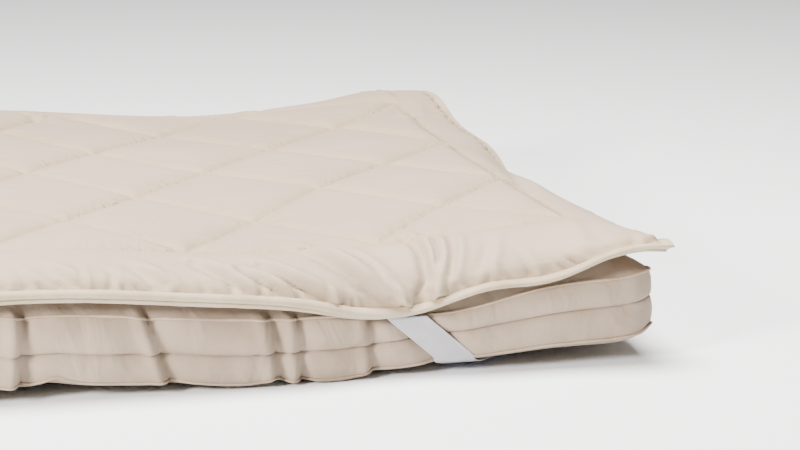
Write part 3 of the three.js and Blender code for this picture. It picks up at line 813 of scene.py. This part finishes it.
def edge_puckers(s, t):
    """Short furrows that run up from the rolled edge, a finger apart, where the edge is sewn in tighter."""
    dice = np.random.default_rng(7)
    height = np.zeros(s.shape)
    for from_edge, along, half, is_side in (
        (EDGE_Y + t, s, EDGE_X, True),
        (EDGE_Y - t, s, EDGE_X, True),
        (EDGE_X - s, t, EDGE_Y, False),
        (EDGE_X + s, t, EDGE_Y, False),
    ):
        near = np.flatnonzero(from_edge < 48.0)
        at = -half + 18.0
        while at < half - 18.0:
            strap_x = is_side and abs(abs(at) - STRAP_X) < 90
            length, depth = dice.uniform(7, 20), dice.uniform(1.6, 4.4)
            lean, width = dice.uniform(-1.4, 0.2), dice.uniform(2.4, 4.2)
            up = from_edge[near]
            off = along[near] - at - lean * up
            fade = np.exp(-((np.maximum(up - 4.0, 0.0) / length) ** 2)) * ease(up / 5.0)
            ridge = np.exp(-(((off - 1.9 * width) / (1.2 * width)) ** 2))
            furrow = np.exp(-((off / width) ** 2)) - 0.7 * ridge
            height[near] -= depth * fade * furrow
            at += dice.uniform(9, 16) if strap_x else dice.uniform(11, 27)
    return height


fine_line, fine_edge = from_stitches(fine_s, fine_t)
furrows = edge_puckers(fine_s, fine_t) + folded(fine_s, fine_t) * ease(fine_edge / 9.0)
deepest = -0.85 * lofted(fine_s, fine_t, fine_edge)  # so that no furrow cuts through the cloth
fine_points += fine_normals * np.maximum(furrows, deepest)[:, None]
# masks of the painted shade near the stitched lines and the rolled edge; the one by the stitches also places
# the crumpled relief
near_stitches, near_edge = np.exp(-fine_line / 9.0), np.exp(-fine_edge / 16.0)


def under_ring(rim_s, rim_t, inset):
    """A closed row of the protector's underside, moved in from its rim. It lies flat on the mattress."""
    s, t = rim_s * (1.0 - inset / EDGE_X), rim_t * (1.0 - inset / EDGE_Y)
    loft = EDGE_LOFT if inset == 0 else SEAM_LOFT
    return cloth(s, t) - cloth_normal(s * 0.999, t * 0.999) * loft, np.column_stack([s, t])


def rim_places(step_s, step_t):
    """Places round the cloth's edge on the flat cloth, anticlockwise from the front left corner."""
    front = [(s, -EDGE_Y) for s in step_s[:-1]]
    right = [(EDGE_X, t) for t in step_t[:-1]]
    back = [(-s, EDGE_Y) for s in step_s[:-1]]
    left = [(-EDGE_X, -t) for t in step_t[:-1]]
    return np.array(front + right + back + left).T


def midpoints_in(places):
    """The places with the middles between them, where the subdivided cloth has its points."""
    between = (places[:-1] + places[1:]) / 2
    return np.sort(np.concatenate([places, between]))


UNDER_RINGS = (0, 7, 30, 60, 84, 130, 220, 340, EDGE_Y)  # their insets from the edge
rim_s, rim_t = rim_places(midpoints_in(GRID_S), midpoints_in(GRID_T))
under_rows, under_laid = zip(*[under_ring(rim_s, rim_t, inset) for inset in UNDER_RINGS])
near_rim = np.flatnonzero(fine_edge < 0.6)
rim = []
for s, t in zip(rim_s, rim_t):
    nearest = np.argmin((fine_s[near_rim] - s) ** 2 + (fine_t[near_rim] - t) ** 2)
    rim.append(int(near_rim[nearest]))


def closed_pad(material):
    """The settled top and the plain underside as one mesh, with what its material reads."""
    first = len(fine_points)
    points = np.concatenate([fine_points, *under_rows])
    number = np.concatenate([rim, np.arange(first, len(points))])
    under_faces = number[np.array(grid_faces(len(under_rows) + 1, len(rim)))][:, ::-1].tolist()
    top_faces = [tuple(face.vertices) for face in finer.polygons]
    mesh = bpy.data.meshes.new("protector_pad_closed")
    mesh.from_pydata((points * MM).tolist(), [], top_faces + under_faces)
    lay_flat(mesh, np.concatenate([np.column_stack([fine_s, fine_t]), *under_laid]))
    for name, values in (("near_stitches", near_stitches), ("near_edge", near_edge)):
        whole = np.concatenate([values, np.zeros(len(points) - first)])
        mesh.attributes.new(name, "FLOAT", "POINT").data.foreach_set("value", whole)
    finish_mesh(mesh, material)
    return mesh


# Bleached cotton sateen, softly pressed. The eye sees a smooth warm white with a slight lustre, fine long
# crush lines from packing and crumpled patches along the stitching. Near the stitched lines and the rolled
# edge
# its colour turns darker and warmer: painted shade.
SATEEN_THREAD = 1.1 * MM  # real threads are a third of this, drawn as coarse as the render can show
# painted shade: up to 55 percent of this darker, warmer colour is mixed in near the stitched lines and the
# rolled edge
SEAM_SHADE_COLOUR = "#a68f6c"
sateen, tree, surface, _, laid, cloudy = cloth_material(
    "bleached_cotton_sateen", "#aa9b8b", "#a09180", 3.0, 0.62, 0.1
)
by_stitches = add(tree, "ShaderNodeAttribute", attribute_name="near_stitches").outputs["Fac"]
by_edge = add(tree, "ShaderNodeAttribute", attribute_name="near_edge").outputs["Fac"]
painted_shade = add(tree, "ShaderNodeMath", {0: by_stitches, 1: by_edge}, operation="MAXIMUM").outputs[0]
painted_shade = add(tree, "ShaderNodeMath", {0: painted_shade, 1: 0.55}, operation="MULTIPLY").outputs[0]
shade_mix = {"Factor": painted_shade, "A": cloudy, "B": linear(SEAM_SHADE_COLOUR)}
shaded_colour = add(tree, "ShaderNodeMix", shade_mix, data_type="RGBA").outputs[2]
tree.links.new(shaded_colour, surface.inputs["Base Color"])
stretched = add(tree, "ShaderNodeMapping", {"Vector": laid, "Scale": (0.35, 1.6, 1.0)}).outputs["Vector"]
lines = {"Vector": stretched, "Scale": 26.0, "Detail": 4.0, "Roughness": 0.5, "Distortion": 0.6}
raise_relief(tree, surface, add(tree, "ShaderNodeTexNoise", lines).outputs["Fac"], 0.6, 4.5)
crumples = {"Vector": laid, "Scale": 95.0, "Detail": 3.0, "Roughness": 0.5, "Distortion": 0.8}
crumple = add(tree, "ShaderNodeTexNoise", crumples).outputs["Fac"]
patches = add(tree, "ShaderNodeTexNoise", {"Vector": laid, "Scale": 11.0, "Detail": 1.0}).outputs["Fac"]
patchy = add(tree, "ShaderNodeMapRange", {"Value": patches, "From Min": 0.42, "From Max": 0.62}).outputs[0]
crumpled = add(tree, "ShaderNodeMath", {0: by_stitches, 1: patchy}, operation="MULTIPLY").outputs[0]
crumpled = add(tree, "ShaderNodeMath", {0: crumple, 1: crumpled}, operation="MULTIPLY").outputs[0]
raise_relief(tree, surface, crumpled, 1.0, 7.0)
raise_relief(tree, surface, weave_height(tree, laid, SATEEN_THREAD), 0.25, 0.15)

pad.data = closed_pad(sateen)
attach(pad, "root")
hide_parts("protector_pad")


# Rolled double edge of the protector: the edges of both cloths are rolled over and sewn together, so that a
# thick roll lies on a thinner one, with a dark line between them. At the corners they part like a mouth.
ROLL_STEP = 5.0
UPPER_ROLL = (3.0, 2.9, 3.4)  # its middle, outwards and up from the cloth's edge, and its radius
LOWER_ROLL = (2.4, -3.5, 2.9)
UPPER_ANGLES = (165, 140, 115, 90, 65, 40, 15, -10, -35, -62, -90)  # of the points of its outline
LOWER_ANGLES = (85, 58, 32, 6, -20, -46, -72, -98, -124, -150)
TUCKED_IN = 3.0
MOUTH = 12.0  # the length at a corner over which the rolls part


def way_along(points):
    """Distance along a row of points, at each of them."""
    return np.concatenate([[0.0], np.cumsum(np.linalg.norm(np.diff(points, axis=0), axis=1))])


def rolled_edge():
    """The rolls' points, row by row round the cloth, and their places along and across the roll."""
    steps = [round(2 * EDGE_X / ROLL_STEP), round(2 * EDGE_Y / ROLL_STEP)]
    s, t = rim_places(np.linspace(-EDGE_X, EDGE_X, steps[0] + 1), np.linspace(-EDGE_Y, EDGE_Y, steps[1] + 1))
    at_end, at_side = np.abs(s) > EDGE_X - ON_LINE, np.abs(t) > EDGE_Y - ON_LINE
    back_s, back_t = s - np.sign(s) * at_end * 3.0, t - np.sign(t) * at_side * 3.0
    edge, inward = cloth(s, t), cloth(back_s, back_t)
    out = (edge - inward) / np.linalg.norm(edge - inward, axis=1, keepdims=True)
    up = cloth_normal(back_s, back_t)
    mitre = np.where(at_end & at_side, math.sqrt(2.0), 1.0)[:, None]
    run = way_along(edge)
    dice = np.random.default_rng(3)
    sizes = []
    for _ in (UPPER_ROLL, LOWER_ROLL):
        waves = [0.022 * np.sin(run / length + dice.uniform(0, 6.28)) for length in (3.1, 5.3, 9.7, 31.0)]
        sizes.append(1.0 + sum(waves))
    to_corner = np.minimum(np.abs(EDGE_X - np.abs(s)) + np.abs(EDGE_Y - np.abs(t)), 200.0)
    part = 1.6 * np.exp(-to_corner / MOUTH)
    pointed = 1.0 - 0.55 * np.exp(-to_corner / MOUTH)
    tucked = ease((s - STRAP_X + 30.0) / 70.0) * (t < 0)
    columns = []
    section = [(UPPER_ROLL, math.radians(angle)) for angle in UPPER_ANGLES]
    section += [(LOWER_ROLL, math.radians(angle)) for angle in LOWER_ANGLES]
    for (way_out, way_up, radius), angle in section:
        upper = way_up > 0
        size = (sizes[0] if upper else sizes[1]) * (1.0 - 0.25 * tucked) * pointed
        if not upper:
            way_out, way_up = way_out - 4.0 * tucked, way_up + 1.2 * tucked
        x = way_out + radius * size * math.cos(angle) - TUCKED_IN * (1 if math.cos(angle) < -0.8 else 0)
        z = way_up + radius * size * math.sin(angle) + (part if upper else -0.6 * part)
        columns.append(edge + out * (x[:, None] * mitre) + up * z[:, None])
    laid = [(r, 2.0 * k) for r in run for k in range(len(columns))]
    return np.stack(columns, axis=1), laid


# Rolled sateen is the same cloth, sewn tight. The eye sees a creamy, slightly lustrous roll with fine
# slanting gathers round it.
rolled_sateen, tree, surface, _, laid, _ = cloth_material(
    "rolled_cotton_sateen", "#b1a38c", "#a19075", 25.0, 0.58, 0.3
)
slanting = {"Vector": laid, "Rotation": (0.0, 0.0, math.radians(35.0)), "Scale": (1.0, 0.3, 1.0)}
twisted = add(tree, "ShaderNodeMapping", slanting).outputs["Vector"]
twist = add(tree, "ShaderNodeTexNoise", {"Vector": twisted, "Scale": 130.0, "Detail": 3.0})
raise_relief(tree, surface, twist.outputs["Fac"], 0.5, 2.0)
raise_relief(tree, surface, weave_height(tree, laid, SATEEN_THREAD), 0.25, 0.15)

roll_points, roll_laid = rolled_edge()
roll_faces = grid_faces(*roll_points.shape[:2], looped=True)
roll = mesh_piece("protector_rolled_edge", roll_points.reshape(-1, 3), roll_faces, rolled_sateen, roll_laid)
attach(roll, "root")
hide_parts("protector_binding")


# Quilting stitches: a spun cotton thread in a running stitch along every diamond line and the border line,
# sunk into the cloth. Only the bits of thread on top are made, each a small rounded grain.
STITCH_PITCH = 4.2
STITCH_LENGTH = 3.0
THREAD = 0.75
STITCH_OUT = 0.15  # how far a stitch's middle stands out of the cloth

stitch_tree, given = geometry_tree("running_stitches", ["Pitch", "Length", "Thickness"])
line = stepped_line(stitch_tree, given, "Pitch")
grain = add(stitch_tree, "GeometryNodeMeshIcoSphere", {"Radius": 0.5, "Subdivisions": 1}).outputs["Mesh"]
sides = {"X": given["Length"], "Y": given["Thickness"], "Z": given["Thickness"]}
size = add(stitch_tree, "ShaderNodeCombineXYZ", sides).outputs[0]
grain = add(stitch_tree, "GeometryNodeTransform", {"Geometry": grain, "Scale": size}).outputs[0]
ahead = add(stitch_tree, "GeometryNodeInputTangent").outputs[0]
turn = add(stitch_tree, "FunctionNodeAlignRotationToVector", {"Vector": ahead}, axis="X").outputs[0]
sewn = {"Points": line, "Instance": grain, "Rotation": turn}
grains = add(stitch_tree, "GeometryNodeInstanceOnPoints", sewn).outputs[0]
finish_tree(stitch_tree, grains, given["Material"])

pad_places = fine_points[: len(flat_s)] + fine_normals[: len(flat_s)] * STITCH_OUT


def stitched_lines():
    """Every quilting line as points on the finished cloth, from its row of grid places."""
    lines = []
    columns, rows = DIAMONDS_LONG * CELLS, DIAMONDS_WIDE * CELLS
    starts = [(i, 0, way) for i in range(0, columns + 1, CELLS) for way in (-1, 1)]
    for j in range(CELLS, rows, CELLS):
        starts += [(0, j, 1), (columns, j, -1)]
    for i, j, way in starts:
        steps = min(rows - j, columns - i if way > 0 else i)
        if steps > 0:
            lines.append([(i + way * k, j + k) for k in range(steps + 1)])
    border = [(i, 0) for i in range(columns)] + [(columns, j) for j in range(rows)]
    border += [(i, rows) for i in range(columns, 0, -1)] + [(0, j) for j in range(rows, 0, -1)]
    lines.append(border + border[:1])
    width = len(GRID_S)
    return [[pad_places[(j + ROWS_OUT) * width + i + ROWS_OUT] for i, j in line] for line in lines]


# Spun cotton thread. The eye sees short creamy grains with a soft sheen, a little darker than the cloth.
thread = cloth_material("spun_cotton_thread", "#b6a78c", "#a69478", 400.0, 0.7, 0.3)[0]
stitches = made_by(
    stitch_tree,
    "quilting_stitches",
    path_mesh("quilting_lines", stitched_lines()),
    {"Pitch": STITCH_PITCH * MM, "Length": STITCH_LENGTH * MM, "Thickness": THREAD * MM},
    thread,
)
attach(stitches, "root")


# Elastic straps, one across each corner: a ribbed band of cotton over rubber threads. It is folded over and
# sewn under the protector's long side, runs down the mattress and under its corner, and up to the end.
STRAP_WIDTH, STRAP_THICKNESS = 30.0, 1.3
STRAP_RIBS, RIB_HEIGHT = 11, 0.28
STRAP_STEP = 3.0
STRAP_SLOPE = math.radians(50.0)
SEWN_DOWN = 8.6  # from the middle of the protector's edge down to the strap's sewn end
STRAP_CLEAR = 5.7  # from the mattress's seam out to the strap, which passes its piping
STRAP_TURN = BELLY - 3.2  # the height where it turns under a level part of the mattress
ROWS_DOWN, ROWS_UNDER = 14, 24  # of a strap down or up the band, and under the mattress
ELASTIC_THREAD = 1.0 * MM
CORNERS = (("front_right", 1, -1), ("back_right", 1, 1), ("back_left", -1, 1), ("front_left", -1, -1))


def strap_front(x):
    """How far out from the middle a strap passes the long side at x."""
    return WIDTH / 2 - (PULLED_IN + STRAP_GROOVE) * hill(x - STRAP_X, PULL_REACH) + STRAP_CLEAR


def strap_end(y):
    """How far out it passes the end at y."""
    return LENGTH / 2 - drawn_in_at_end(y) + STRAP_CLEAR


def strap_line_rows(sx, sy):
    """Both edges of a strap, row by row along it: worked out for one corner, and mirrored to this one."""
    _, side_y, side_z = cloth(sx * STRAP_X, sy * EDGE_Y).tolist()
    end_x, _, end_z = cloth(sx * EDGE_X, sy * STRAP_Y).tolist()
    at_side, at_end = STRAP_WIDTH / math.sin(STRAP_SLOPE) / 2, STRAP_WIDTH / math.cos(STRAP_SLOPE) / 2
    foot_x = STRAP_X + (side_z - SEWN_DOWN) / math.tan(STRAP_SLOPE)
    foot_y = strap_front(foot_x)
    end_y = foot_y - (strap_end(STRAP_Y) - foot_x) * math.tan(STRAP_SLOPE)
    end_foot = strap_end(end_y)
    rows = []

    def cross(x, y, z, along_x, along_y):
        rows.append([(x + way * along_x, y + way * along_y, z) for way in (-1, 1)])

    def under(x, y):
        inset = max(min(strap_end(y) - x, strap_front(x) - y), 0.0)
        rise = float(rise_under(sx * x, sy * y) - sag_under(sx * x, sy * y, inset))
        return BELLY * math.exp(-inset / 12.0) + rise - 2.0

    side_turn = STRAP_TURN + float(rise_under(sx * foot_x, sy * foot_y))
    end_turn = STRAP_TURN + float(rise_under(sx * end_foot, sy * end_y))
    for share in np.linspace(0, 1, ROWS_DOWN):
        x, y = mix(STRAP_X, foot_x, share), mix(abs(side_y) + 1.0, foot_y + 0.6, share)
        cross(x, y, mix(side_z - SEWN_DOWN + 3.0, side_turn + 6.0, share), at_side, 0.0)
    cross(foot_x + 1, foot_y, side_turn + 2.5, at_side, 0.0)
    cross(foot_x + 3, foot_y - 3.0, side_turn + 0.2, at_side, 0.0)
    for share in np.linspace(0.06, 0.94, ROWS_UNDER):
        x, y = mix(foot_x, end_foot, share), mix(foot_y, end_y, share)
        dx, dy = mix(at_side, 0.0, ease(share)), mix(0.0, at_end, ease(share))
        keep = STRAP_WIDTH / 2 / math.hypot(dx * math.sin(STRAP_SLOPE), dy * math.cos(STRAP_SLOPE))
        cross(x, y, under(x, y), dx * keep, dy * keep)
    cross(end_foot - 3.0, end_y + 3, end_turn + 0.2, 0.0, at_end)
    cross(end_foot, end_y + 1, end_turn + 2.5, 0.0, at_end)
    for share in np.linspace(0, 1, ROWS_DOWN):
        x, y = mix(end_foot + 0.6, abs(end_x) - 3.0, share), mix(end_y, STRAP_Y, share)
        cross(x, y, mix(end_turn + 6.0, end_z - 6.0, share), 0.0, at_end)
    return np.array(rows) * np.array([sx, sy, 1.0])


def strap_mesh_rows(edges, hand):
    """Rows across a ribbed band, each along its outer face and back along its inner one."""
    across = np.linspace(0.0, 1.0, STRAP_RIBS * 4 + 1)
    wide = edges[:, 1] - edges[:, 0]
    ahead = np.gradient(edges.mean(axis=1), axis=0)
    normal = np.cross(wide, ahead) * hand
    normal /= np.linalg.norm(normal, axis=1, keepdims=True)
    half = STRAP_THICKNESS / 2 - RIB_HEIGHT + RIB_HEIGHT * np.abs(np.sin(math.pi * STRAP_RIBS * across))
    face = edges[:, :1] + wide[:, None] * across[None, :, None]
    off = normal[:, None] * half[None, :, None]
    return np.concatenate([face + off, (face - off)[:, ::-1]], axis=1)


# Ribbed woven elastic. The eye sees a cool, matte white band with fine ribs along it.
elastic, tree, surface, _, laid, _ = cloth_material(
    "ribbed_woven_elastic", "#b1afb6", "#a4a2aa", 60.0, 0.7, 0.1
)
raise_relief(tree, surface, weave_height(tree, laid, ELASTIC_THREAD), 0.5, 0.4)

for corner_name, sx, sy in CORNERS:
    edges = strap_line_rows(sx, sy)
    way = way_along(edges.mean(axis=1))
    even = np.linspace(0.0, way[-1], round(way[-1] / STRAP_STEP))
    sides = [[np.interp(even, way, edges[:, side, axis]) for axis in range(3)] for side in (0, 1)]
    body = strap_mesh_rows(np.stack(sides).transpose(2, 0, 1), -sx * sy)
    long, around = body.shape[:2]
    faces = grid_faces(long, around)
    faces.append(list(range(around))[::-1])
    faces.append(list(range((long - 1) * around, long * around)))
    if sx * sy < 0:
        faces = [face[::-1] for face in faces]
    step = STRAP_WIDTH / (around / 2 - 1)
    flat = [(k * STRAP_STEP, step * min(c, around - 1 - c)) for k in range(long) for c in range(around)]
    strap = mesh_piece(f"corner_strap_{corner_name}", body.reshape(-1, 3), faces, elastic, flat)
    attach(strap, "root")
    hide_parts(f"strap_{corner_name}")


# Stage: a plain pale floor of matt paper, a soft key light from the upper left, and a wide light overhead.
# The floor is near white, and the light is a little warm.
FLOOR_COLOUR = (0.87, 0.93, 0.99, 1)
LIGHT_COLOUR = (1.0, 0.93, 0.86)
floor_mesh = bpy.data.meshes.new("floor")
floor_mesh.from_pydata([(-9, -6, 0), (9, -6, 0), (9, 12, 0), (-9, 12, 0)], [], [(0, 1, 2, 3)])
floor = new_object("floor", floor_mesh)
paper = bpy.data.materials.new("floor_paper")
paper.use_nodes = True
surface = paper.node_tree.nodes["Principled BSDF"]
surface.inputs["Base Color"].default_value = FLOOR_COLOUR
surface.inputs["Roughness"].default_value = 0.9
floor_mesh.materials.append(paper)

world = bpy.data.worlds.new("studio")
bpy.context.scene.world = world
world.use_nodes = True
world.node_tree.nodes["Background"].inputs["Color"].default_value = (1, 0.95, 0.9, 1)
world.node_tree.nodes["Background"].inputs["Strength"].default_value = 0.2


def soft_light(name, place, aim, size, power):
    """A round area light, in metres and watts."""
    data = bpy.data.lights.new(name, "AREA")
    data.shape = "DISK"
    data.size = size
    data.energy = power
    data.color = LIGHT_COLOUR
    light = new_object(name, data)
    light.location = place
    light.rotation_mode = "QUATERNION"
    light.rotation_quaternion = (Vector(aim) - Vector(place)).to_track_quat("-Z", "Y")


soft_light("key", (-2.45, -2.35, 1.6), (0.5, 0, 0.1), 1.0, 415)
soft_light("overhead", (0.7, -0.3, 2.3), (0.6, -0.1, 0), 1.4, 245)


# Camera: as the photograph's, low in front of the left part and looking a little to the right. Its long lens
# keeps the two ends of the object near the same scale.
AZIMUTH, ELEVATION = math.radians(-14.1), math.radians(12.0)
LENS, SENSOR = 135, 36
CAMERA_PLACE = (0.0907, -3.0749, 0.7225)
level = math.cos(ELEVATION)
back = np.array([math.sin(AZIMUTH) * level, -math.cos(AZIMUTH) * level, math.sin(ELEVATION)])
right = np.array([math.cos(AZIMUTH), math.sin(AZIMUTH), 0.0])
camera_data = bpy.data.cameras.new("camera")
camera_data.lens = LENS
camera_data.sensor_width = SENSOR
camera = new_object("camera", camera_data)
camera.matrix_world = Matrix(np.column_stack([right, np.cross(back, right), back]).tolist()).to_4x4()
camera.location = CAMERA_PLACE
bpy.context.scene.camera = camera
